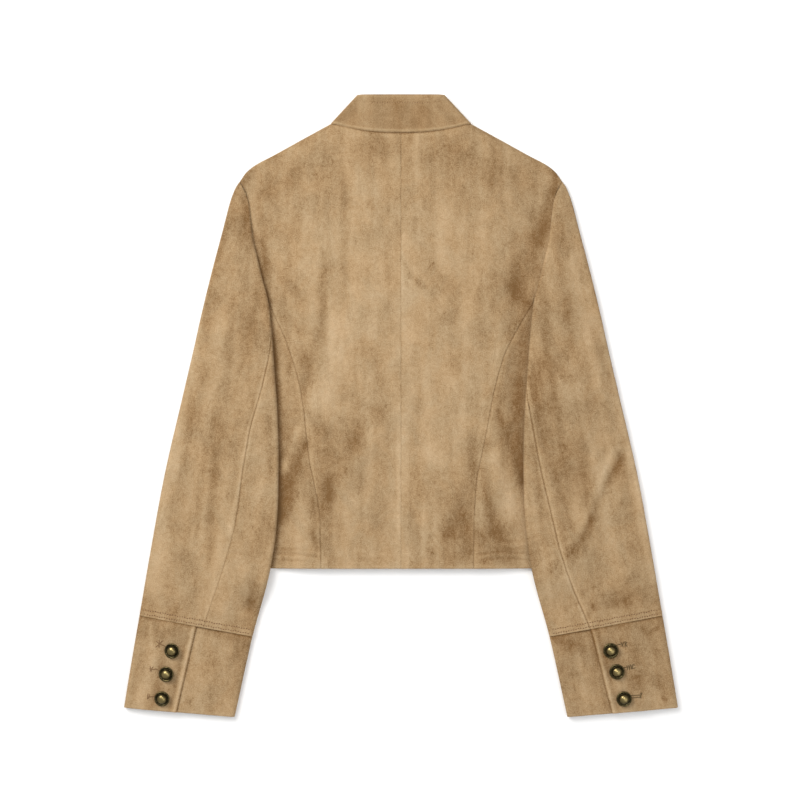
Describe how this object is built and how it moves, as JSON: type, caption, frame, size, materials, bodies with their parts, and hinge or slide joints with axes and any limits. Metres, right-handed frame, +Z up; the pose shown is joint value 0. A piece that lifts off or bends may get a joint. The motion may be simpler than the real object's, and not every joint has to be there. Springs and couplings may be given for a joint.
{
  "type": "cropped suede jacket",
  "caption": "Cropped suede jacket with a stand collar, panelled back, two-piece sleeves and deep cuffs closed by domed metal buttons, laid flat with its back up.",
  "frame": {"origin": "on the surface it lies on, under the middle of the whole outline", "axes": "+X towards the wearer's right sleeve, +Y from the hem to the collar, +Z up out of the jacket's back"},
  "size_m": [0.6438, 0.722, 0.0192],
  "materials": {
    "suede": "napped suede, tan",
    "button_metal": "antique, half gloss"
  },
  "bodies": {
    "root": {"collar": "suede", "centre_back_left": "suede", "side_back_left": "suede", "front_left": "suede", "upper_sleeve_left": "suede", "under_sleeve_left": "suede", "cuff_left": "suede", "centre_back_right": "suede", "side_back_right": "suede", "front_right": "suede", "upper_sleeve_right": "suede", "under_sleeve_right": "suede", "cuff_right": "suede", "button_left_1": "button_metal", "button_left_2": "button_metal", "button_left_3": "button_metal", "button_right_1": "button_metal", "button_right_2": "button_metal", "button_right_3": "button_metal"}
  },
  "joints": []
}
